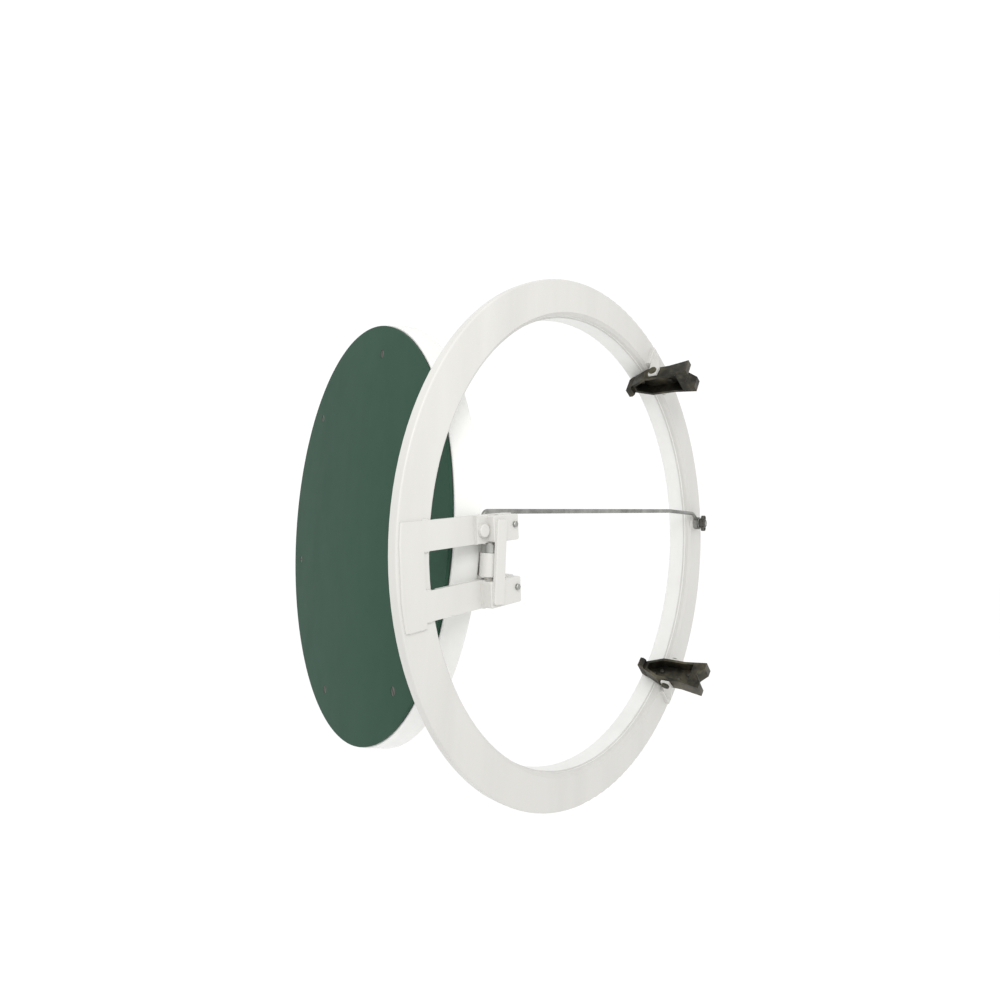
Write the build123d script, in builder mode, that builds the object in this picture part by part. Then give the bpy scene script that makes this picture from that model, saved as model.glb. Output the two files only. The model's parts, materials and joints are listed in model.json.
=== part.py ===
from build123d import *
import os
from math import cos, radians, sin

# Round deck hatch: a flanged ring frame with a disc lid on a two-pin link hinge.
# Millimetres.  The origin is the centre of the ring on the back face of its flange, which
# seats on the deck.  +Y points through the deck, towards the lid.  +Z is up.

# Ring frame
OUTER_R = 345.0
CLEAR_R = 300.0
FLANGE_T = 12.0
COAMING_WALL = 8.0
COAMING_DEPTH = 26.0
FOOT_R = 310.0
FOOT_T = 3.0
FRONT_Y = -FLANGE_T

# The ring's fittings keep to a line through its centre that dips towards the hinge.
RING_TURN = 7.0
DIP_COS = cos(radians(RING_TURN))
DIP_SIN = sin(radians(RING_TURN))

# Lid: a thick sealed disc, measured in its own plane from its outer face inwards
LID_FACE_R = 302.0
LID_EDGE_R = 307.5
LID_T = 35.0
LID_GAP = 0.5
SKIRT_WALL = 5.0
PANEL_R = 301.0
PANEL_T = 4.0
RIM_INNER_R = 288.0
RIM_TOP = 5.1
LINER_R = 293.0
LINER_T = 3.0
LINER_DEPTH = 34.0
LID_SCREWS = 6

# Link hinge, seen along its upright pins
PIN_R = 6.0
RUNNING = 0.05
SNUG = 0.02
FIXED_PIN = (-218.0, -17.0)
LID_PIN_REACH = 267.07
LID_PIN_DEPTH = 54.1
LINK_TURN = 92.37
LID_TURN = 74.7
LINK_WIDTH = 12.0
EYE_R = 11.5
LINK_Z = (-44.0, -18.5)
LUG_T = 7.4
LUG_Z = ((LINK_Z[0] - 0.6 - LUG_T, LINK_Z[0] - 0.6), (LINK_Z[1] + 0.6, LINK_Z[1] + 0.6 + LUG_T))

# Hinge arms, in the dipped frame of the ring's fittings
ARM_Z = ((19.5, 50.0), (-50.0, -19.5))
ARM_END_X = (-240.0, -233.0)
ARM_FRONT_Y = -14.0
ARM_BACK_Y = -8.0
BLOCK_END_X = -184.0
BLOCK_Y = (-19.0, -5.0)

# Latch dogs
DOG_ANGLES = {"upper": RING_TURN + 53.5, "lower": RING_TURN - 51.5}
DOG_PIVOT_R = 288.0
DOG_PIVOT_Y = -26.0
DOG_T = 20.0
DOG_WALL = 4.0
DOG_FLOOR = 4.5
DOG_IN = 40.0
DOG_OUT = 55.0
DOG_HALF_IN = 7.5
DOG_HALF = 18.5
DOG_HALF_OUT = 23.0

# Stay rod that holds the lid open
STAY_X = 309.0
STAY_Z = 39.0
STAY_Y = -20.0
STAY_ROD_R = 3.0
STAY_EYE_REACH = 275.0
STAY_EYE_DEPTH = 58.0
STAY_EYE_Z = (9.7, 14.7)


def turned(x, y, angle):
    """The vector (x, y) turned by angle degrees about +Z."""
    c, s = cos(radians(angle)), sin(radians(angle))
    return x * c - y * s, x * s + y * c


# The closed lid lies on the ring; the open lid follows from the two turns of the link hinge.
LID_CLOSED_Y = COAMING_DEPTH + LID_GAP + LID_T
_closed_pin = (-LID_PIN_REACH, LID_CLOSED_Y - LID_PIN_DEPTH)
_link_x, _link_y = turned(_closed_pin[0] - FIXED_PIN[0], _closed_pin[1] - FIXED_PIN[1], -LINK_TURN)
LID_PIN = (FIXED_PIN[0] + _link_x, FIXED_PIN[1] + _link_y)
_arm_x, _arm_y = turned(LID_PIN_REACH, LID_PIN_DEPTH, LID_TURN)
LID_CENTRE = (LID_PIN[0] + _arm_x, LID_PIN[1] + _arm_y)
LID_NORMAL = turned(0, 1, LID_TURN)
LID_TO_HINGE = turned(-1, 0, LID_TURN)

os.makedirs("parts", exist_ok=True)


def save(piece, label):
    """Label a finished piece and write it as one STEP file."""
    piece.part.label = label
    export_step(piece.part, f"parts/{label}.step")


def ring_plane(y):
    """Plane across the ring's axis at height y: local x is +X, local y is +Z."""
    return Plane(origin=(0, y, 0), x_dir=(1, 0, 0), z_dir=(0, -1, 0))


def fitting_plane(y):
    """Plane across the ring's axis at height y, in the dipped frame of the fittings."""
    return Plane(origin=(0, y, 0), x_dir=(DIP_COS, 0, DIP_SIN), z_dir=(0, -1, 0))


def arm_plane(height):
    """Section plane along the hinge arms, height above their middle: local y is +Y."""
    origin = (-height * DIP_SIN, 0, height * DIP_COS)
    return Plane(origin=origin, x_dir=(DIP_COS, 0, DIP_SIN), z_dir=(-DIP_SIN, 0, DIP_COS))


def fixed_pin_reach(height):
    """Where the fixed pin stands along the dipped line, height above the arms' middle."""
    return (FIXED_PIN[0] + height * DIP_SIN) / DIP_COS


def lid_plane(depth=0.0):
    """Plane of the open lid, depth below its outer face: local x to the hinge, local y up."""
    origin = (LID_CENTRE[0] - depth * LID_NORMAL[0], LID_CENTRE[1] - depth * LID_NORMAL[1], 0)
    return Plane(origin=origin, x_dir=(*LID_TO_HINGE, 0), z_dir=(*LID_NORMAL, 0))


def radial_plane(angle, radius, y):
    """Plane of a radial section: local x outwards, local y along +Y, normal round the ring."""
    c, s = cos(radians(angle)), sin(radians(angle))
    return Plane(origin=(radius * c, y, radius * s), x_dir=(c, 0, s), z_dir=(-s, 0, c))


def lid_section():
    """Half section of the lid: local x is the radius, local y the depth along the normal."""
    return Plane(origin=(*LID_CENTRE, 0), x_dir=(0, 0, 1), z_dir=(*LID_TO_HINGE, 0))


LID_AXIS = Axis((*LID_CENTRE, 0), (*LID_NORMAL, 0))


# ---------------------------------------------------------------- ring frame
def make_flange():
    """Flat ring with a chamfered lip in front and a recess behind for the coaming's foot."""
    with BuildPart() as flange:
        with BuildSketch(ring_plane(0)):
            Circle(OUTER_R)
            Circle(CLEAR_R, mode=Mode.SUBTRACT)
        extrude(amount=FLANGE_T)
        with BuildSketch(ring_plane(0)):
            Circle(FOOT_R + SNUG)
        extrude(amount=FOOT_T, mode=Mode.SUBTRACT)
        front = flange.faces().sort_by(Axis.Y)[0]
        chamfer(front.inner_wires()[0].edges(), length=4.0)
        fillet(front.outer_wire().edges(), radius=2.0)
    save(flange, "flange_ring")


def make_coaming():
    """Short tube that passes through the deck, with a foot let into the back of the flange."""
    with BuildPart() as coaming:
        with BuildSketch(ring_plane(COAMING_DEPTH)):
            Circle(CLEAR_R + COAMING_WALL)
            Circle(CLEAR_R, mode=Mode.SUBTRACT)
        extrude(amount=COAMING_DEPTH)
        back = coaming.faces().sort_by(Axis.Y)[-1]
        fillet(back.edges(), radius=1.5)
        with BuildSketch(ring_plane(0)):
            Circle(FOOT_R)
            Circle(CLEAR_R, mode=Mode.SUBTRACT)
        extrude(amount=FOOT_T)
    save(coaming, "coaming_tube")


# ---------------------------------------------------------------- hinge on the ring
BASE_X = (-341.0, -311.0)
BASE_Z = (-56.0, 50.0)
BASE_MARGIN = 3.0
ARM_STEP_X = -294.0
FIXED_PIN_Z = (-76.0, 22.0)
CAP_T = 10.2
CAP_LEFT = 9.5
BAR_T = 4.0
BAR_WIDTH = 15.0
BAR_Z = (-73.0, 18.0)


def make_hinge_base():
    """Pad on the flange that both hinge arms grow from, rounded like the ring outside."""
    with BuildPart() as base:
        with BuildSketch(fitting_plane(FRONT_Y)):
            with Locations((sum(BASE_X) / 2, sum(BASE_Z) / 2)):
                Rectangle(BASE_X[1] - BASE_X[0], BASE_Z[1] - BASE_Z[0])
            Circle(OUTER_R - BASE_MARGIN, mode=Mode.INTERSECT)
        extrude(amount=FRONT_Y - ARM_FRONT_Y)
        chamfer(base.faces().sort_by(Axis.Y)[0].edges().filter_by(GeomType.CIRCLE), length=1.0)
    save(base, "hinge_base_plate")


def make_hinge_arm(label, low, high, end):
    """Flat arm level with its pad, which steps down inside the bore to a block for the pin."""
    with BuildPart() as arm:
        with BuildSketch(arm_plane(low)):
            with BuildLine():
                Polyline(
                    (BASE_X[1], ARM_FRONT_Y),
                    (end, ARM_FRONT_Y),
                    (end, BLOCK_Y[0]),
                    (BLOCK_END_X, BLOCK_Y[0]),
                    (BLOCK_END_X, BLOCK_Y[1]),
                    (end - 2, BLOCK_Y[1]),
                    (end - 12, ARM_BACK_Y),
                    (ARM_STEP_X, ARM_BACK_Y),
                    (ARM_STEP_X, FRONT_Y),
                    (BASE_X[1], FRONT_Y),
                    close=True,
                )
            make_face()
        extrude(amount=high - low)
        chamfer(arm.faces().sort_by(Axis.Y)[0].outer_wire().edges(), length=0.6)
        with BuildSketch(Plane.XY.offset(-100)):
            with Locations(FIXED_PIN):
                Circle(PIN_R + SNUG)
        extrude(amount=200, mode=Mode.SUBTRACT)
    save(arm, label)


def make_fixed_pin():
    """Plain upright pin that lies in the grooves of both arm blocks."""
    low, high = FIXED_PIN_Z
    with BuildPart() as pin:
        with BuildSketch(Plane.XY.offset(low)):
            with Locations(FIXED_PIN):
                Circle(PIN_R)
        extrude(amount=high - low)
        chamfer(pin.edges().filter_by(GeomType.CIRCLE), length=1)
    save(pin, "fixed_hinge_pin")


def make_pin_cap(label, low, high):
    """Grooved cap on an arm block, which shuts the fixed pin in."""
    left = fixed_pin_reach((low + high) / 2) - CAP_LEFT
    with BuildPart() as cap:
        with BuildSketch(fitting_plane(BLOCK_Y[0])):
            with Locations(((left + BLOCK_END_X) / 2, (low + high) / 2)):
                RectangleRounded(BLOCK_END_X - left, high - low - 2, 2)
        extrude(amount=CAP_T)
        fillet(cap.faces().sort_by(Axis.Y)[0].edges(), radius=1)
        with BuildSketch(Plane.XY.offset(-100)):
            with Locations(FIXED_PIN):
                Circle(PIN_R + SNUG)
        extrude(amount=200, mode=Mode.SUBTRACT)
    save(cap, label)


def make_clamp_bar():
    """Upright bar across both caps, in front of the fixed pin."""
    with BuildPart() as bar:
        with BuildSketch(ring_plane(BLOCK_Y[0] - CAP_T)):
            with Locations((FIXED_PIN[0], sum(BAR_Z) / 2)):
                RectangleRounded(BAR_WIDTH, BAR_Z[1] - BAR_Z[0], 3)
        extrude(amount=BAR_T)
        fillet(bar.faces().sort_by(Axis.Y)[0].edges(), radius=1)
    save(bar, "pin_clamp_bar")


def make_cap_bolts():
    """Hexagon bolt heads, one at the free end of each cap."""
    with BuildPart() as bolts:
        for low, high in ARM_Z:
            with BuildSketch(fitting_plane(BLOCK_Y[0] - CAP_T)):
                with Locations((BLOCK_END_X - 7, (low + high) / 2 + 3)):
                    RegularPolygon(3.6, 6)
            extrude(amount=3)
        chamfer(bolts.faces().group_by(Axis.Y)[0].edges(), length=0.5)
    save(bolts, "pin_cap_bolts")


def make_arm_plug():
    """Round plug over the grease hole of the upper block."""
    with BuildPart() as plug:
        with BuildSketch(fitting_plane(BLOCK_Y[0])):
            with Locations((ARM_END_X[0] + 7.4, sum(ARM_Z[0]) / 2 - 1)):
                Circle(7.2)
        extrude(amount=5)
        fillet(plug.faces().sort_by(Axis.Y)[0].edges(), radius=1.5)
    save(plug, "grease_plug")


def make_thrust_spacer():
    """Ring on the fixed pin between the link and the upper block."""
    with BuildPart() as spacer:
        with BuildSketch(Plane.XY.offset(LINK_Z[1] + 0.4)):
            with Locations(FIXED_PIN):
                Circle(EYE_R)
                Circle(PIN_R + SNUG, mode=Mode.SUBTRACT)
        extrude(amount=9)
    save(spacer, "thrust_spacer")


# ---------------------------------------------------------------- link
BUSH_R = 8.0


def make_headed_pin(label, centre, low, high, head):
    """Upright hinge pin with a domed head on top."""
    with BuildPart() as pin:
        with BuildSketch(Plane.XY.offset(low)):
            with Locations(centre):
                Circle(PIN_R)
        extrude(amount=high - low)
        with BuildSketch(Plane.XY.offset(high)):
            with Locations(centre):
                Circle(PIN_R + 3)
        extrude(amount=head)
        fillet(pin.faces().sort_by(Axis.Z)[-1].edges(), radius=head / 2)
        chamfer(pin.faces().sort_by(Axis.Z)[0].edges(), length=1)
    save(pin, label)


def make_pin_collar(label, centre, top):
    """Retaining collar on the lower end of a hinge pin."""
    with BuildPart() as collar:
        with BuildSketch(Plane.XY.offset(top)):
            with Locations(centre):
                Circle(PIN_R + 4)
                Circle(PIN_R + SNUG, mode=Mode.SUBTRACT)
        extrude(amount=-5)
        chamfer(collar.faces().sort_by(Axis.Z)[0].outer_wire().edges(), length=0.8)
    save(collar, label)


def make_link():
    """Straight bar with a bored eye at each end."""
    low, high = LINK_Z
    with BuildPart() as link:
        with BuildSketch(Plane.XY.offset(low)):
            with BuildLine():
                Line(FIXED_PIN, LID_PIN)
            trace(line_width=LINK_WIDTH)
            with Locations(FIXED_PIN, LID_PIN):
                Circle(EYE_R)
            with Locations(FIXED_PIN, LID_PIN):
                Circle(BUSH_R + SNUG, mode=Mode.SUBTRACT)
        extrude(amount=high - low)
    save(link, "hinge_link")


def make_bushes():
    """Bronze bushes pressed into the link, one at each end of both eyes."""
    low, high = LINK_Z
    with BuildPart() as bushes:
        for start, depth in ((low, 12.0), (high, -12.0)):
            with BuildSketch(Plane.XY.offset(start)):
                with Locations(FIXED_PIN, LID_PIN):
                    Circle(BUSH_R)
                with Locations(FIXED_PIN, LID_PIN):
                    Circle(PIN_R + RUNNING, mode=Mode.SUBTRACT)
            extrude(amount=depth)
    save(bushes, "link_bushes")


# ---------------------------------------------------------------- latch dogs
CHEEK_GAP = 0.6
CHEEK_T = 4.0
CHEEK_IN = DOG_HALF + CHEEK_GAP
CHEEK_OUT = CHEEK_IN + CHEEK_T
DOG_PIN_R = 5.0
DOG_PAD_T = 6.0
DOG_PAD_X = (16.0, 48.0)
CLAW_REACH = 8.0
CLAW_T = 8.0
DOG_SCREWS = ((-29, -2), (-17, 4), (15, -7), (27, 6))
PARALLEL = (-14.0, 22.0)
POCKET = (5.0 - DOG_IN, 36.0)
NOTCH_HALF = 13.0
NOTCH_DEPTH = 9.0


def dog_face(plane):
    """Plane seen along the radius through a dog: local x round the ring, local y towards -Y."""
    return Plane(origin=plane.origin, x_dir=plane.z_dir, z_dir=plane.x_dir)


def make_dog_pad(side, plane):
    """White pad on the flange under a dog's bracket."""
    front = FRONT_Y - DOG_PIVOT_Y
    with BuildPart() as pad:
        with BuildSketch(plane):
            with Locations((sum(DOG_PAD_X) / 2, front - DOG_PAD_T / 2)):
                Rectangle(DOG_PAD_X[1] - DOG_PAD_X[0], DOG_PAD_T)
        extrude(amount=CHEEK_OUT + 3, both=True)
        chamfer(pad.faces().sort_by(Axis.Y)[0].edges(), length=0.8)
    save(pad, f"dog_pad_{side}")


def make_dog_bracket(side, plane):
    """Pair of cheeks that carry the dog's pins."""
    foot = FRONT_Y - DOG_PIVOT_Y - DOG_PAD_T
    with BuildPart() as bracket:
        for start in (CHEEK_IN, -CHEEK_OUT):
            with BuildSketch(plane.offset(start)):
                with BuildLine():
                    Polyline((40, foot), (19, foot), (-7, 6), (-7, -7), (6, -9), (40, foot - 4), close=True)
                make_face()
                Circle(DOG_PIN_R + SNUG, mode=Mode.SUBTRACT)
            extrude(amount=CHEEK_T)
    save(bracket, f"dog_bracket_{side}")


def make_dog_pin(side, plane):
    """Shoulder pins of a dog, one through each side of the lever, fixed in the cheeks."""
    inner = DOG_HALF - DOG_WALL
    with BuildPart() as pin:
        for way in (1, -1):
            with BuildSketch(plane.offset(way * inner)):
                Circle(DOG_PIN_R)
            extrude(amount=way * (CHEEK_OUT - inner))
            with BuildSketch(plane.offset(way * CHEEK_OUT)):
                Circle(DOG_PIN_R + 1)
            extrude(amount=way * 2)
    save(pin, f"dog_pin_{side}")


def mirrored_outline(points):
    """Closed outline from its right half: (half width, distance) points from one end to the other."""
    left = [(-half, along) for half, along in reversed(points)]
    Polyline(*points, *left, close=True)


def make_dog_lever(side, plane):
    """Tray-shaped lever along the ring's axis, floor outwards, flared and notched outside."""
    face = dog_face(plane)
    flare = (DOG_HALF_OUT - DOG_HALF) / (DOG_OUT - PARALLEL[1])
    pocket_end = DOG_HALF - DOG_WALL + flare * (POCKET[1] - PARALLEL[1])
    with BuildPart() as lever:
        with BuildSketch(face.offset(-DOG_T / 2)):
            with BuildLine():
                mirrored_outline(
                    [
                        (DOG_HALF_IN, -DOG_IN),
                        (DOG_HALF, PARALLEL[0]),
                        (DOG_HALF, PARALLEL[1]),
                        (DOG_HALF_OUT, DOG_OUT),
                        (NOTCH_HALF, DOG_OUT),
                        (1, DOG_OUT - NOTCH_DEPTH),
                    ]
                )
            make_face()
        extrude(amount=DOG_T)
        with BuildSketch(face.offset(-DOG_T / 2)):
            with BuildLine():
                mirrored_outline(
                    [
                        (DOG_HALF_IN - DOG_WALL + 1, POCKET[0]),
                        (DOG_HALF - DOG_WALL, PARALLEL[0]),
                        (DOG_HALF - DOG_WALL, PARALLEL[1]),
                        (pocket_end, POCKET[1]),
                    ]
                )
            make_face()
        extrude(amount=DOG_T - DOG_FLOOR, mode=Mode.SUBTRACT)
        with BuildSketch(plane):
            Circle(DOG_PIN_R + RUNNING)
        extrude(amount=DOG_HALF + 5, both=True, mode=Mode.SUBTRACT)
    save(lever, f"dog_lever_{side}")


def make_dog_claw(side, plane):
    """Claw block on the inner end of the lever, which hooks the lid's keeper."""
    outer = DOG_T / 2
    tip = -DOG_T / 2 - CLAW_REACH
    end = DOG_IN + CLAW_T
    with BuildPart() as claw:
        with BuildSketch(plane):
            with BuildLine():
                Polyline(
                    (outer - 5, end),
                    (tip, end),
                    (tip, DOG_IN + 3),
                    (tip + 3, DOG_IN),
                    (outer, DOG_IN),
                    (outer, end - 5),
                    close=True,
                )
            make_face()
        extrude(amount=DOG_HALF_IN, both=True)
    save(claw, f"dog_claw_{side}")


def make_dog_screws(side, plane):
    """Pan-head screws on the floor of the lever's tray."""
    face = Plane(origin=plane.origin, x_dir=-plane.y_dir, z_dir=-plane.x_dir).offset(DOG_FLOOR - DOG_T / 2)
    with BuildPart() as screws:
        with BuildSketch(face):
            with Locations(*DOG_SCREWS):
                Circle(3.6)
        extrude(amount=2.4)
        heads = screws.faces().sort_by(Axis(face.origin, face.z_dir))[-len(DOG_SCREWS):]
        chamfer(heads.edges(), length=0.8)
    save(screws, f"dog_screws_{side}")


# ---------------------------------------------------------------- stay rod
STAY_PAD_R = 10.0
STAY_PAD_T = 4.0
STAY_STUD_R = 4.0
STAY_STUD_L = 20.0
STAY_EYE_T = 7.0
KNOB_R = 7.5
KNOB_T = 8.0
WING_R = 4.8
WING_T = 5.0
STAY_CORNER = (288.0, -20.5, 54.5)
STAY_CREST = (216.0, -13.3, 54.4)
STAY_DROP = 13.0


def make_stay_pad():
    """Round boss on the flange that carries the stay's stud."""
    with BuildPart() as pad:
        with BuildSketch(ring_plane(FRONT_Y)):
            with Locations((STAY_X, STAY_Z)):
                Circle(STAY_PAD_R)
        extrude(amount=STAY_PAD_T)
        fillet(pad.faces().sort_by(Axis.Y)[0].edges(), radius=2)
    save(pad, "stay_pad")


def make_stay_stud():
    """Stud that the rod turns on and the knob clamps on."""
    with BuildPart() as stud:
        with BuildSketch(ring_plane(FRONT_Y - STAY_PAD_T)):
            with Locations((STAY_X, STAY_Z)):
                Circle(STAY_STUD_R)
        extrude(amount=STAY_STUD_L)
        chamfer(stud.faces().sort_by(Axis.Y)[0].edges(), length=1)
    save(stud, "stay_stud")


def make_stay_rod(tip):
    """Round rod with an eye on the stud, a cranked end, and a tip bent down towards the lid's eye."""
    start = (STAY_X - 7.5, STAY_Y, STAY_Z + 8.4)
    end = (tip[0], tip[1], tip[2] - STAY_DROP)
    with BuildPart() as rod:
        with BuildLine() as route:
            FilletPolyline(start, STAY_CORNER, STAY_CREST, tip, end, radius=(12, 60, 7))
        with BuildSketch(Plane(origin=route.line @ 0, z_dir=route.line % 0)):
            Circle(STAY_ROD_R)
        sweep()
        with BuildSketch(ring_plane(STAY_Y + STAY_EYE_T / 2)):
            with Locations((STAY_X, STAY_Z)):
                Circle(10.5)
        extrude(amount=STAY_EYE_T)
        with BuildSketch(ring_plane(STAY_Y + 10)):
            with Locations((STAY_X, STAY_Z)):
                Circle(STAY_STUD_R + RUNNING)
        extrude(amount=20, mode=Mode.SUBTRACT)
    save(rod, "stay_rod")


def make_stay_washer():
    """Spring washer between the rod's eye and the knob."""
    with BuildPart() as washer:
        with BuildSketch(ring_plane(STAY_Y - STAY_EYE_T / 2 - 0.4)):
            with Locations((STAY_X, STAY_Z)):
                Circle(9)
                Circle(STAY_STUD_R + SNUG, mode=Mode.SUBTRACT)
        extrude(amount=2)
    save(washer, "stay_washer")


def make_stay_knob():
    """Wing nut on the stud: a round hub with a loop at each side."""
    back = STAY_Y - STAY_EYE_T / 2 - 2.8
    with BuildPart() as knob:
        with BuildSketch(ring_plane(back)):
            with Locations((STAY_X, STAY_Z)):
                Circle(KNOB_R)
        extrude(amount=KNOB_T)
        chamfer(knob.faces().sort_by(Axis.Y)[0].edges(), length=1)
        with BuildSketch(ring_plane(back - 2)):
            with Locations((STAY_X, STAY_Z + KNOB_R + 1), (STAY_X, STAY_Z - KNOB_R - 1)):
                Circle(WING_R)
        extrude(amount=WING_T)
        with BuildSketch(ring_plane(back)):
            with Locations((STAY_X, STAY_Z)):
                Circle(STAY_STUD_R + RUNNING)
            with Locations((STAY_X, STAY_Z + KNOB_R + 2), (STAY_X, STAY_Z - KNOB_R - 2)):
                Circle(WING_R / 2.4)
        extrude(amount=KNOB_T + 4, mode=Mode.SUBTRACT)
    save(knob, "stay_knob")


# ---------------------------------------------------------------- lid
SCREW_RING_R = 262.0
SCREW_START = 72.0
BACKING_DEPTH = 6.1
BACKING_T = 3.0
STIFFENER_R = 287.0
HINGE_PLATE_X = (224.0, 286.0)
HINGE_PLATE_Z = (-62.0, 2.0)
HINGE_PLATE_T = 4.0
KEEPER_W = 30.0


def lid_point(reach, depth):
    """A point in plan on the lid: reach towards the hinge, depth below the outer face."""
    x = LID_CENTRE[0] + reach * LID_TO_HINGE[0] - depth * LID_NORMAL[0]
    y = LID_CENTRE[1] + reach * LID_TO_HINGE[1] - depth * LID_NORMAL[1]
    return x, y


def lid_radial_plane(angle):
    """Radial section of the lid: local x outwards, local y along its normal."""
    c, s = cos(radians(angle)), sin(radians(angle))
    out = Vector(-c * LID_TO_HINGE[0], -c * LID_TO_HINGE[1], s)
    normal = Vector(*LID_NORMAL, 0)
    return Plane(origin=(*LID_CENTRE, 0), x_dir=out, z_dir=out.cross(normal))


def make_lid_disc(label, radius, depth, thickness):
    """Plain disc of the lid."""
    with BuildPart() as disc:
        with BuildSketch(lid_plane(depth)):
            Circle(radius)
        extrude(amount=-thickness)
    save(disc, label)


def make_lid_ring(label, points):
    """Ring of the lid, turned from its half section: (radius, depth) points."""
    with BuildPart() as ring:
        with BuildSketch(lid_section()):
            with BuildLine():
                Polyline(*[(r, -depth) for r, depth in points], close=True)
            make_face()
        revolve(axis=LID_AXIS)
    save(ring, label)


def make_lid_panel():
    """Outer panel with a countersunk hole for each screw."""
    with BuildPart() as panel:
        with BuildSketch(lid_plane()):
            Circle(PANEL_R)
        extrude(amount=-PANEL_T)
        chamfer(panel.edges(), length=0.6)
        with Locations(lid_plane()):
            with PolarLocations(SCREW_RING_R, LID_SCREWS, start_angle=SCREW_START):
                CounterSinkHole(radius=3.2, counter_sink_radius=6.2, depth=PANEL_T)
    save(panel, "lid_panel")


def make_panel_screws():
    """Countersunk screws of the outer panel, with a slot in each head."""
    with BuildPart() as screws:
        with Locations(lid_plane(0.4)):
            with PolarLocations(SCREW_RING_R, LID_SCREWS, start_angle=SCREW_START):
                Cylinder(3, PANEL_T + 1.5, align=(Align.CENTER, Align.CENTER, Align.MAX))
                Cone(3, 5.7, 2.7, align=(Align.CENTER, Align.CENTER, Align.MAX))
        with Locations(lid_plane(0.4)):
            with PolarLocations(SCREW_RING_R, LID_SCREWS, start_angle=SCREW_START):
                Box(12, 1.2, 2.2, mode=Mode.SUBTRACT)
    save(screws, "lid_panel_screws")


def make_lid_stiffener():
    """Ring and crossed bars inside the lid, between the backing plate and the liner."""
    top = BACKING_DEPTH + BACKING_T + 0.1
    with BuildPart() as stiffener:
        with BuildSketch(lid_plane(top)):
            Circle(STIFFENER_R)
            Circle(STIFFENER_R - 6, mode=Mode.SUBTRACT)
            with PolarLocations(0, 4, angular_range=180):
                Rectangle(2 * STIFFENER_R - 4, 6)
        extrude(amount=-(LINER_DEPTH - LINER_T - 0.1 - top))
    save(stiffener, "lid_stiffener")


def make_lid_hinge_bracket():
    """Foot plate on the liner and two lugs bored for the lid's hinge pin."""
    depth = LINER_DEPTH
    with BuildPart() as bracket:
        with BuildSketch(lid_plane(depth)):
            with Locations((sum(HINGE_PLATE_X) / 2, sum(HINGE_PLATE_Z) / 2)):
                RectangleRounded(HINGE_PLATE_X[1] - HINGE_PLATE_X[0], HINGE_PLATE_Z[1] - HINGE_PLATE_Z[0], 8)
        extrude(amount=-HINGE_PLATE_T)
        for low, high in LUG_Z:
            with BuildSketch(Plane.XY.offset(low)):
                with BuildLine():
                    Polyline(
                        lid_point(HINGE_PLATE_X[0] + 8, depth + 1),
                        lid_point(HINGE_PLATE_X[1] - 6, depth + 1),
                        lid_point(LID_PIN_REACH + EYE_R, LID_PIN_DEPTH),
                        lid_point(LID_PIN_REACH, LID_PIN_DEPTH + EYE_R),
                        lid_point(LID_PIN_REACH - EYE_R, LID_PIN_DEPTH + 2),
                        close=True,
                    )
                make_face()
                with Locations(LID_PIN):
                    Circle(EYE_R)
                    Circle(PIN_R + SNUG, mode=Mode.SUBTRACT)
            extrude(amount=high - low)
    save(bracket, "lid_hinge_bracket")


def make_bracket_bolts():
    """Hexagon bolt heads on the bracket's foot plate."""
    with BuildPart() as bolts:
        with BuildSketch(lid_plane(LINER_DEPTH + HINGE_PLATE_T)):
            with Locations((238, -57), (238, -3.2), (275, -57), (275, -3.2)):
                RegularPolygon(4.2, 6)
        extrude(amount=-3.5)
    save(bolts, "lid_bracket_bolts")


def make_keeper(side, angle):
    """Keeper on the liner with a ledge that the dog's claw pulls on."""
    foot = -LINER_DEPTH
    end = -(LID_CLOSED_Y - 2)
    with BuildPart() as keeper:
        with BuildSketch(lid_radial_plane(angle)):
            with BuildLine():
                Polyline(
                    (232, foot),
                    (232, foot - 4),
                    (243, foot - 4),
                    (246, foot - 8),
                    (246, end),
                    (266.5, end),
                    (266.5, end + 5.5),
                    (252, end + 5.5),
                    (252, foot),
                    close=True,
                )
            make_face()
        extrude(amount=KEEPER_W / 2, both=True)
    save(keeper, f"keeper_{side}")


def make_stay_eye():
    """Level tongue on the liner with a loose hole for the tip of the stay rod."""
    low, high = STAY_EYE_Z
    with BuildPart() as eye:
        with BuildSketch(lid_plane(LINER_DEPTH)):
            with Locations((270, (low + high) / 2 + 10)):
                RectangleRounded(30, 25, 4)
        extrude(amount=-3)
        with BuildSketch(Plane.XY.offset(low)):
            with BuildLine():
                Polyline(
                    lid_point(STAY_EYE_REACH - 22, LINER_DEPTH + 1),
                    lid_point(STAY_EYE_REACH + 4, LINER_DEPTH + 1),
                    lid_point(STAY_EYE_REACH + 11, STAY_EYE_DEPTH),
                    lid_point(STAY_EYE_REACH - 11, STAY_EYE_DEPTH),
                    close=True,
                )
            make_face()
            with Locations(lid_point(STAY_EYE_REACH, STAY_EYE_DEPTH)):
                Circle(11)
                Circle(6, mode=Mode.SUBTRACT)
        extrude(amount=high - low)
    save(eye, "stay_eye")


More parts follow.
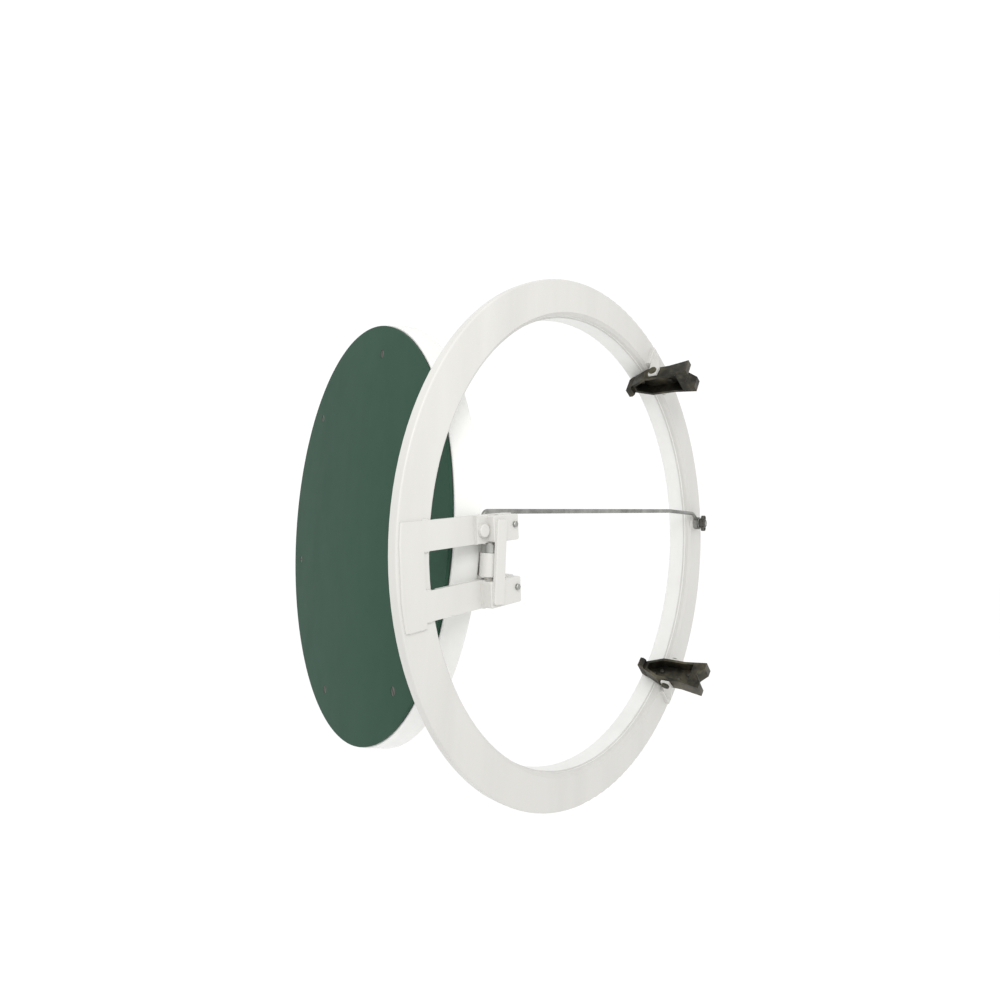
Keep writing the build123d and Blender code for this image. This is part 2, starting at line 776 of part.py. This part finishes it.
make_flange()
make_coaming()
make_hinge_base()
make_hinge_arm("hinge_arm_upper", *ARM_Z[0], ARM_END_X[0])
make_hinge_arm("hinge_arm_lower", *ARM_Z[1], ARM_END_X[1])
make_fixed_pin()
make_pin_cap("pin_cap_upper", *ARM_Z[0])
make_pin_cap("pin_cap_lower", *ARM_Z[1])
make_clamp_bar()
make_cap_bolts()
make_arm_plug()
make_thrust_spacer()
make_link()
make_bushes()
for _side, _angle in DOG_ANGLES.items():
    _plane = radial_plane(_angle, DOG_PIVOT_R, DOG_PIVOT_Y)
    make_dog_pad(_side, _plane)
    make_dog_bracket(_side, _plane)
    make_dog_pin(_side, _plane)
    make_dog_lever(_side, _plane)
    make_dog_claw(_side, _plane)
    make_dog_screws(_side, _plane)
    make_keeper(_side, _angle)
make_stay_pad()
make_stay_stud()
make_stay_rod((*lid_point(STAY_EYE_REACH, STAY_EYE_DEPTH), STAY_EYE_Z[1] + 0.8 + STAY_DROP))
make_stay_washer()
make_stay_knob()
make_lid_panel()
make_panel_screws()
make_lid_ring(
    "lid_seam_trim",
    [
        (RIM_INNER_R, PANEL_T + 0.1),
        (PANEL_R - 0.5, PANEL_T + 0.1),
        (PANEL_R - 0.5, RIM_TOP - 0.1),
        (RIM_INNER_R, RIM_TOP - 0.1),
    ],
)
make_lid_ring(
    "lid_rim",
    [
        (RIM_INNER_R, RIM_TOP),
        (LID_FACE_R, RIM_TOP),
        (LID_FACE_R + 1, RIM_TOP + 1),
        (LID_EDGE_R, LID_T - 2),
        (LID_EDGE_R, LID_T),
        (LID_EDGE_R - SKIRT_WALL, LID_T),
        (LID_FACE_R - SKIRT_WALL + 1, RIM_TOP + 6),
        (RIM_INNER_R, RIM_TOP + 6),
    ],
)
make_lid_disc("lid_backing", RIM_INNER_R - 0.5, BACKING_DEPTH, BACKING_T)
make_lid_stiffener()
make_lid_disc("lid_liner", LINER_R - 0.2, LINER_DEPTH - LINER_T, LINER_T)
make_lid_ring("gasket_seat", [(LINER_R, 24), (299.8, 24), (299.8, 27.8), (LINER_R, 27.8)])
make_lid_ring(
    "lid_gasket",
    [(LINER_R + 0.2, 28), (300.7, 28), (300.7, 33.6), (297, LID_T - 0.1), (LINER_R + 0.2, 33.6)],
)
make_lid_hinge_bracket()
make_bracket_bolts()
make_headed_pin("lid_hinge_pin", LID_PIN, LUG_Z[0][0] - 6, LUG_Z[1][1], 3)
make_pin_collar("lid_pin_collar", LID_PIN, LUG_Z[0][0])
make_stay_eye()
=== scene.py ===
import json
import math
import random

import bmesh
import bpy
from mathutils import Matrix, Vector


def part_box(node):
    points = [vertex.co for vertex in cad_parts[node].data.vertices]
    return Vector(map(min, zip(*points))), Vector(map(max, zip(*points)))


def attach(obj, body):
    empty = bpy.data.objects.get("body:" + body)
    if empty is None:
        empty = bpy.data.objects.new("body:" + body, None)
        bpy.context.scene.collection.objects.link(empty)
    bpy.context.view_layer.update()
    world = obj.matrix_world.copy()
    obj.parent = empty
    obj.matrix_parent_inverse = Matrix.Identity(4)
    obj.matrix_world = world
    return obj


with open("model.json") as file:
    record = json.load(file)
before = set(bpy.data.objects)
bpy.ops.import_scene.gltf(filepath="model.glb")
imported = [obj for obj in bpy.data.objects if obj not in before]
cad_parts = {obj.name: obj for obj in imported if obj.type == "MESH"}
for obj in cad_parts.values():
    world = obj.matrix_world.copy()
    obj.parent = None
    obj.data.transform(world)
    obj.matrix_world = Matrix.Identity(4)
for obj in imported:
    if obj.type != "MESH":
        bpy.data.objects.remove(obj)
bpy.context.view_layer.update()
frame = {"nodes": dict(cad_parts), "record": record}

SEED = 11
RNG = random.Random(SEED)
MM = 0.001
SIDES = ("upper", "lower")


# ------------------------------------------------------------------ frame measures
def low(node):
    return Vector(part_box(node)[0])


def high(node):
    return Vector(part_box(node)[1])


def middle(node):
    return (low(node) + high(node)) / 2


# The flange's front face, its bore, and the dip of the fittings on it.
FRONT_Y = low("flange_ring").y
CLEAR_R = 300 * MM
RING_TURN = math.radians(7.0)

# The open lid: how far it is swung, its outer face and the depth of its liner below that.
LID_TURN = math.radians(74.7)
LID_OUT = Vector((-math.sin(LID_TURN), math.cos(LID_TURN), 0))
LID_HINGEWARD = Vector((-math.cos(LID_TURN), -math.sin(LID_TURN), 0))
PANEL_T = 4 * MM
FACE_CENTRE = middle("lid_panel") + LID_OUT * PANEL_T / 2
LINER_DEPTH = 34 * MM


def lid_point(reach, up, depth):
    """A point on the lid: reach towards the hinge, up, and depth below its outer face."""
    return FACE_CENTRE + LID_HINGEWARD * reach + Vector((0, 0, up)) - LID_OUT * depth


def dipped(x, y, z):
    """A point given in the dipped frame of the ring's fittings."""
    c, s = math.cos(RING_TURN), math.sin(RING_TURN)
    return Vector((x * c - z * s, y, x * s + z * c))


def turns(count):
    """The angles of count equal steps round a circle."""
    return [2 * math.pi * k / count for k in range(count)]


def upright_circle(centre, radius, count):
    """Points round a circle that stands parallel to the flange."""
    return [centre + Vector((radius * math.cos(a), 0, radius * math.sin(a))) for a in turns(count)]


# ------------------------------------------------------------------ materials
class Tree:
    """Small helper that adds and links shader nodes, in object coordinates."""

    def __init__(self, name):
        self.mat = bpy.data.materials.new(name)
        self.mat.use_nodes = True
        self.nodes = self.mat.node_tree.nodes
        self.links = self.mat.node_tree.links
        self.shader = self.nodes["Principled BSDF"]
        self.coord = self.nodes.new("ShaderNodeTexCoord").outputs["Object"]

    def link(self, a, b):
        self.links.new(a, b)

    def noise(self, scale, detail=4.0, rough=0.55, stretch=None):
        """Noise of about scale grains to the metre; stretch scales it along X, Y and Z."""
        source = self.coord
        if stretch:
            mapping = self.nodes.new("ShaderNodeMapping")
            mapping.inputs["Scale"].default_value = stretch
            self.link(self.coord, mapping.inputs["Vector"])
            source = mapping.outputs["Vector"]
        node = self.nodes.new("ShaderNodeTexNoise")
        node.inputs["Scale"].default_value = scale
        node.inputs["Detail"].default_value = detail
        node.inputs["Roughness"].default_value = rough
        self.link(source, node.inputs["Vector"])
        return node.outputs["Fac"]

    def mask(self, value, start, full, strength=1.0):
        """Black where value is under start, rising to strength where it reaches full."""
        node = self.nodes.new("ShaderNodeValToRGB")
        dark, light = node.color_ramp.elements
        dark.position = start
        dark.color = (0, 0, 0, 1)
        light.position = full
        light.color = (strength, strength, strength, 1)
        self.link(value, node.inputs["Fac"])
        return node.outputs["Color"]

    def mix(self, fac, a, b):
        """Colour a where fac is 0 and colour b where it is 1; either can be a socket."""
        node = self.nodes.new("ShaderNodeMix")
        node.data_type = "RGBA"
        self.link(fac, node.inputs["Factor"])
        for socket, value in ((node.inputs[6], a), (node.inputs[7], b)):
            if isinstance(value, tuple):
                socket.default_value = (*value, 1)
            else:
                self.link(value, socket)
        return node.outputs[2]

    def span(self, value, to_low, to_high):
        """Stretches a value from 0 to 1 over the range to_low to to_high."""
        node = self.nodes.new("ShaderNodeMapRange")
        node.inputs["To Min"].default_value = to_low
        node.inputs["To Max"].default_value = to_high
        self.link(value, node.inputs["Value"])
        return node.outputs["Result"]

    def bump(self, height, strength, distance):
        """Adds relief on top of what the shader has already."""
        node = self.nodes.new("ShaderNodeBump")
        node.inputs["Strength"].default_value = strength
        node.inputs["Distance"].default_value = distance
        self.link(height, node.inputs["Height"])
        previous = self.shader.inputs["Normal"].links
        if previous:
            self.link(previous[0].from_socket, node.inputs["Normal"])
        self.link(node.outputs["Normal"], self.shader.inputs["Normal"])

    def set(self, **values):
        """Sets the shader's sockets to numbers or colours, or links them."""
        for name, value in values.items():
            socket = self.shader.inputs[name.replace("_", " ")]
            if hasattr(value, "is_linked"):
                self.link(value, socket)
            else:
                socket.default_value = value


# How noise is scaled along X, Y and Z: a small number draws it out, a large one squeezes it.
DRAWN_X = (0.06, 1.0, 1.0)
SQUEEZED_Z = (1.0, 1.0, 14.0)
DRAWN_Z = (1.0, 1.0, 0.16)


def paint(name, colour, shade, chip, rough=(0.32, 0.5), chips=0.73, gloss=0.5):
    """Enamel on steel: slow colour drift, faint runs, small chips, orange peel and brush waves.

    The colour drifts towards shade, and chips is the noise level above which the coat is chipped.
    """
    t = Tree(name)
    drift = t.mix(t.noise(scale=3, detail=3), colour, shade)
    runs = t.noise(scale=14, detail=5, rough=0.6, stretch=DRAWN_Z)
    run_colour = tuple(0.72 * c for c in shade)
    streaked = t.mix(t.mask(runs, 0.45, 0.85, strength=0.35), drift, run_colour)
    spots = t.mask(t.noise(scale=95, detail=2, rough=0.4), chips, chips + 0.02)
    t.set(Base_Color=t.mix(spots, streaked, chip))
    t.set(Roughness=t.span(t.noise(scale=22), *rough), Specular_IOR_Level=gloss)
    t.bump(t.noise(scale=420, detail=2), strength=0.05, distance=0.6 * MM)
    t.bump(t.noise(scale=28, detail=3), strength=0.07, distance=1.2 * MM)
    return t.mat


def metal(name, colour, dark, rough, brushed=None):
    """Bare or oiled metal with darker patches, and brushing or else a cast grain.

    brushed is the scale of the brushing along X, Y and Z.
    """
    t = Tree(name)
    patches = t.mask(t.noise(scale=36, detail=5, rough=0.65), 0.35, 0.7)
    t.set(Base_Color=t.mix(patches, colour, dark), Metallic=1.0)
    t.set(Roughness=t.span(t.noise(scale=60), *rough))
    if brushed:
        grain = t.noise(scale=260, detail=3, rough=0.6, stretch=brushed)
    else:
        grain = t.noise(scale=300, rough=0.7)
    t.bump(grain, strength=0.12, distance=0.8 * MM)
    return t.mat


def oiled_bronze():
    """Near-black patina that is rubbed to olive bronze where hands reach it."""
    patina, bare = (0.024, 0.023, 0.018), (0.115, 0.105, 0.070)
    t = Tree("dark_bronze_patina")
    rubbed = t.mask(t.noise(scale=26, detail=5, rough=0.6), 0.42, 0.66)
    t.set(Base_Color=t.mix(rubbed, patina, bare), Metallic=0.75)
    t.set(Roughness=t.span(t.noise(scale=70), 0.28, 0.55))
    t.bump(t.noise(scale=240, rough=0.7), strength=0.18, distance=0.8 * MM)
    return t.mat


def rubber():
    """Matt black rubber with a chalky bloom."""
    black, chalky = (0.012, 0.012, 0.012), (0.04, 0.04, 0.038)
    t = Tree("black_rubber")
    bloom = t.mask(t.noise(scale=40), 0.4, 0.8)
    t.set(Base_Color=t.mix(bloom, black, chalky))
    t.set(Roughness=t.span(t.noise(scale=90, detail=3), 0.6, 0.85))
    t.bump(t.noise(scale=600, detail=2), strength=0.1, distance=0.4 * MM)
    return t.mat


WHITE = paint("white_enamel", (0.63, 0.623, 0.594), (0.605, 0.598, 0.567), (0.45, 0.42, 0.36), chips=0.80)
# A lighter copy of the same white enamel, as painted light on the coaming tube, the lid's rim and liner
# and the liner's rivets.
PAINTED_LIGHT_WHITE = paint("white_enamel_painted_light", (0.82, 0.82, 0.80), (0.79, 0.79, 0.77), (0.4, 0.37, 0.3), chips=0.81)
GREEN = paint(
    "green_enamel",
    colour=(0.034, 0.080, 0.054),
    shade=(0.028, 0.070, 0.047),
    chip=(0.05, 0.10, 0.07),
    rough=(0.42, 0.55),
    chips=0.80,
    gloss=0.04,
)
PRIMER = paint("primed_steel", (0.33, 0.31, 0.28), (0.26, 0.25, 0.23), (0.1, 0.08, 0.06))
STEEL = metal("brushed_steel", (0.42, 0.42, 0.40), (0.24, 0.24, 0.23), (0.28, 0.45), brushed=SQUEEZED_Z)
SCREW_STEEL = metal("dark_screw_steel", (0.13, 0.12, 0.105), (0.05, 0.05, 0.045), (0.35, 0.5))
ROD_STEEL = metal("rod_steel", (0.36, 0.36, 0.34), (0.17, 0.17, 0.16), (0.35, 0.5), brushed=DRAWN_X)
KNOB_IRON = metal("knob_iron", (0.16, 0.155, 0.135), (0.07, 0.068, 0.06), (0.35, 0.5))
BUSH_BRONZE = metal("bush_bronze", (0.5, 0.34, 0.15), (0.3, 0.19, 0.08), (0.25, 0.42))
BRONZE = oiled_bronze()
RUBBER = rubber()

# Each node's material goes by its slot in the record, apart from the nodes named in BY_NODE.
BY_SLOT = {
    "white_paint": WHITE,
    "green_paint": GREEN,
    "dark_bronze": BRONZE,
    "dark_knob": KNOB_IRON,
    "bronze_bush": BUSH_BRONZE,
    "gasket_rubber": RUBBER,
    "seam_sealant": RUBBER,
    "primed_steel": PRIMER,
    "steel_hardware": STEEL,
}
BY_NODE = {
    # The coaming tube, lid rim and lid liner take the lighter copy of the white enamel, which paints light
    # on them.
    "coaming_tube": PAINTED_LIGHT_WHITE,
    "lid_rim": PAINTED_LIGHT_WHITE,
    "lid_liner": PAINTED_LIGHT_WHITE,
    "stay_rod": ROD_STEEL,
    "fixed_hinge_pin": WHITE,
    "dog_screws_upper": SCREW_STEEL,
    "dog_screws_lower": SCREW_STEEL,
    "lid_panel_screws": SCREW_STEEL,
}

# The pieces whose straight edges are rounded a little.
BEVEL_WIDTH = 0.7 * MM
BEVEL_STEPS = 2
BEVEL_ANGLE = math.radians(40)
BEVELLED_PAIRS = ("hinge_arm", "dog_lever", "dog_bracket", "dog_claw", "keeper")
BEVELLED = [f"{part}_{side}" for part in BEVELLED_PAIRS for side in SIDES]
BEVELLED += ["hinge_link", "lid_hinge_bracket"]


def dress_nodes():
    """Gives every CAD node its material, and the bevelled ones an edge that catches light."""
    slots = {row["node"]: row["material_slot"] for row in frame["record"]["subparts"]}
    for name, obj in frame["nodes"].items():
        mat = BY_NODE.get(name, BY_SLOT[slots[name]])
        for slot in obj.material_slots:
            slot.material = mat
        if name in BEVELLED:
            bevel = obj.modifiers.new("edge_round", "BEVEL")
            bevel.width = BEVEL_WIDTH
            bevel.segments = BEVEL_STEPS
            bevel.limit_method = "ANGLE"
            bevel.angle_limit = BEVEL_ANGLE
            bevel.harden_normals = True


# ------------------------------------------------------------------ mesh helpers
def new_object(name, bm, mat):
    """Turns a bmesh into an object in the scene."""
    mesh = bpy.data.meshes.new(name)
    bm.to_mesh(mesh)
    bm.free()
    mesh.materials.append(mat)
    obj = bpy.data.objects.new(name, mesh)
    bpy.context.scene.collection.objects.link(obj)
    return obj


def white_piece(name, bm, body, mat):
    """Turns a bmesh into a smooth piece in white paint that rides on a body."""
    bmesh.ops.recalc_face_normals(bm, faces=bm.faces)
    obj = new_object(name, bm, mat)
    for poly in obj.data.polygons:
        poly.use_smooth = True
    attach(obj, body)


def axes_to(normal):
    """Rotation whose local Z is normal."""
    return Vector((0, 0, 1)).rotation_difference(normal).to_matrix().to_4x4()


def lathe(bm, profile, place, steps):
    """Adds a closed turned shape: profile is (radius, height) pairs from axis to axis."""
    rings = []
    for radius, height in profile:
        if radius:
            points = [Vector((radius * math.cos(a), radius * math.sin(a), height)) for a in turns(steps)]
        else:
            points = [Vector((0, 0, height))]
        rings.append([bm.verts.new(place @ point) for point in points])
    for below, above in zip(rings, rings[1:]):
        for k in range(steps):
            corners = [below[k % len(below)], below[(k + 1) % len(below)]]
            corners += [above[(k + 1) % len(above)], above[k % len(above)]]
            bm.faces.new(list(dict.fromkeys(corners)))


# A bead is a tube of rings. Its size varies with each ripple, and slowly along its length, in
# radians for each ring, from a starting angle of its own. It tapers at open ends.
RIPPLE_LENGTH = 2.6 * MM
RINGS_PER_RIPPLE = 3
BEAD_SIDES = 8
RIPPLE_SWELL = 0.16
SLOW_SWELL = 0.08
SLOW_SWELL_RATE = 0.11
SLOW_SWELL_STARTS = 6
END_SIZE = 0.45
# Almost the flange's normal, and never in line with a bead.
BEAD_NORMAL = Vector((0, 1, 0.001))


def bead_line(points, closed):
    """Evenly spaced points along the runs between points, one for each ring of the bead."""
    runs = zip(points, points[1:] + points[:1]) if closed else zip(points, points[1:])
    line = []
    for a, b in runs:
        count = max(1, round((b - a).length * RINGS_PER_RIPPLE / RIPPLE_LENGTH))
        line += [a.lerp(b, k / count) for k in range(count)]
    if not closed:
        line.append(points[-1])
    return line


def weld(name, points, radius, closed=False):
    """A painted weld bead on the frame: a tube whose ripples follow the welder's steps."""
    line = bead_line(points, closed)
    last = len(line) - 1
    phase = RNG.uniform(0, SLOW_SWELL_STARTS)
    bm = bmesh.new()
    rings = []
    for k, centre in enumerate(line):
        ahead = line[(k + 1) % len(line)] if closed or k < last else centre
        behind = line[k - 1] if closed or k else centre
        along = (ahead - behind).normalized()
        side = along.cross(BEAD_NORMAL).normalized()
        up = side.cross(along)
        swell = 1 + RIPPLE_SWELL * math.cos(2 * math.pi * k / RINGS_PER_RIPPLE)
        swell += SLOW_SWELL * math.sin(k * SLOW_SWELL_RATE + phase)
        if not closed and k in (0, last):
            swell *= END_SIZE
        spokes = [side * math.cos(a) + up * math.sin(a) for a in turns(BEAD_SIDES)]
        rings.append([bm.verts.new(centre + spoke * radius * swell) for spoke in spokes])
    following = rings[1:] + rings[:1] if closed else rings[1:]
    for one, two in zip(rings, following):
        for j in range(BEAD_SIDES):
            beside = (j + 1) % BEAD_SIDES
            bm.faces.new([one[j], one[beside], two[beside], two[j]])
    if not closed:
        bm.faces.new(rings[0])
        bm.faces.new(rings[-1])
    white_piece(name, bm, "frame", WHITE)


# ------------------------------------------------------------------ beads on the ring
# Places across (X) and up (Z) are in the dipped frame of the ring's fittings.
ARM_BEAD_X = (-311 * MM, -303 * MM)
ARM_EDGES = {"upper": (19.5 * MM, 50 * MM), "lower": (-50 * MM, -19.5 * MM)}
BASE_BEAD_X = (-334 * MM, -313 * MM)
BASE_BOTTOM_Z = -56 * MM
HINGE_BEAD_R = 1.6 * MM
BEAD_PROUD = 0.3 * MM
SEAM_BEAD_R = 1.3 * MM
SEAM_Y = -0.2 * MM
SEAM_POINTS = 180
PAD_BEAD_R = 1.0 * MM
PAD_POINTS = 24


def hinge_welds():
    """Straight beads along the edges of the two arms, and one under the base plate."""
    bead_y = FRONT_Y - BEAD_PROUD
    for side in SIDES:
        for name, edge in zip(("bottom", "top"), ARM_EDGES[side]):
            weld(f"arm_{side}_{name}_weld", [dipped(x, bead_y, edge) for x in ARM_BEAD_X], HINGE_BEAD_R)
    ends = [dipped(x, bead_y, BASE_BOTTOM_Z) for x in BASE_BEAD_X]
    weld("base_plate_bottom_weld", ends, HINGE_BEAD_R)


def round_welds():
    """A bead round the bore, level with the flange's back, and one round the stay's pad."""
    seam = upright_circle(Vector((0, SEAM_Y, 0)), CLEAR_R, SEAM_POINTS)
    weld("coaming_seam_weld", seam, SEAM_BEAD_R, closed=True)
    pad = middle("stay_pad")
    pad_r = high("stay_pad").x - pad.x
    edge = upright_circle(Vector((pad.x, FRONT_Y, pad.z)), pad_r, PAD_POINTS)
    weld("stay_pad_weld", edge, PAD_BEAD_R, closed=True)


# ------------------------------------------------------------------ rivets on the lid
RIVETS = 24
RIVET_RING_R = 284 * MM
RIVET_SINK = 0.2 * MM
RIVET_SIDES = 18
# Half of the head's section, from the middle of its base to its top: radius and height in mm.
RIVET_HEAD = ((0, 0), (4.2, 0), (4.0, 0.9), (3.0, 1.8), (1.6, 2.3), (0, 2.45))


def liner_rivets():
    """Dome rivets that hold the liner, seen on the inner side of the lid."""
    head = [(radius * MM, height * MM) for radius, height in RIVET_HEAD]
    bm = bmesh.new()
    for k in range(RIVETS):
        a = 2 * math.pi * (k + 0.5) / RIVETS
        base = lid_point(RIVET_RING_R * math.cos(a), RIVET_RING_R * math.sin(a), LINER_DEPTH - RIVET_SINK)
        lathe(bm, head, Matrix.Translation(base) @ axes_to(-LID_OUT), RIVET_SIDES)
    # The rivets take the lighter copy of the white enamel, painted light like the liner round them.
    white_piece("liner_rivets", bm, "lid", PAINTED_LIGHT_WHITE)


# ------------------------------------------------------------------ stage, light and camera
# Places and sizes are in metres, in the frame of the hatch, and the key light's power in watts.
FLOOR_DROP = 0.5
FLOOR_R = 40
FLOOR_SIDES = 64
SKY_STRENGTH = 1.04
KEY_PLACE = Vector((-0.85, -0.62, 0.5))
KEY_TARGET = Vector((-0.2, 0.1, 0.05))
KEY_SIZE = 0.5
KEY_POWER = 4.2
CAMERA_PLACE = Vector((-0.7125, -0.4633, -0.0038))
CAMERA_FORWARD = Vector((0.7485, 0.6599, 0.0649)).normalized()
CAMERA_RIGHT = Vector((0.6587, -0.7512, 0.0412))
CAMERA_NEAR = 0.01
LENS_MM = 22.03
SENSOR_MM = 36


def make_floor():
    """Plain white floor well below the hatch, which fades into the white background."""
    white, off_white = (1.0, 1.0, 1.0), (0.985, 0.985, 0.985)
    t = Tree("studio_floor")
    t.set(Base_Color=t.mix(t.noise(scale=2, detail=2), white, off_white))
    t.set(Roughness=1.0, Specular_IOR_Level=0.0)
    bm = bmesh.new()
    bmesh.ops.create_circle(bm, cap_ends=True, segments=FLOOR_SIDES, radius=FLOOR_R)
    floor = new_object("studio_floor", bm, t.mat)
    floor.location.z = low("flange_ring").z - FLOOR_DROP


def make_light():
    """An even white sky, one soft disc of light just above and behind the camera, plain colours."""
    world = bpy.data.worlds.new("studio")
    world.use_nodes = True
    background = world.node_tree.nodes["Background"]
    background.inputs["Color"].default_value = (1, 1, 1, 1)
    background.inputs["Strength"].default_value = SKY_STRENGTH
    bpy.context.scene.world = world
    key = bpy.data.lights.new("key", "AREA")
    key.shape = "DISK"
    key.size = KEY_SIZE
    key.energy = KEY_POWER
    lamp = bpy.data.objects.new("key", key)
    lamp.location = KEY_PLACE
    lamp.rotation_euler = (KEY_TARGET - KEY_PLACE).to_track_quat("-Z", "Y").to_euler()
    bpy.context.scene.collection.objects.link(lamp)
    bpy.context.scene.view_settings.view_transform = "Standard"


def make_camera():
    """The camera stands at the front left, near the hinge, and sees the lid's green face."""
    data = bpy.data.cameras.new("camera")
    data.lens = LENS_MM
    data.sensor_width = SENSOR_MM
    data.clip_start = CAMERA_NEAR
    camera = bpy.data.objects.new("camera", data)
    right = (CAMERA_RIGHT - CAMERA_FORWARD * CAMERA_RIGHT.dot(CAMERA_FORWARD)).normalized()
    up = right.cross(CAMERA_FORWARD)
    turn = Matrix((right, up, -CAMERA_FORWARD)).transposed().to_4x4()
    camera.matrix_world = Matrix.Translation(CAMERA_PLACE) @ turn
    bpy.context.scene.collection.objects.link(camera)
    bpy.context.scene.camera = camera


make_floor()
make_light()
make_camera()
dress_nodes()
hinge_welds()
round_welds()
liner_rivets()
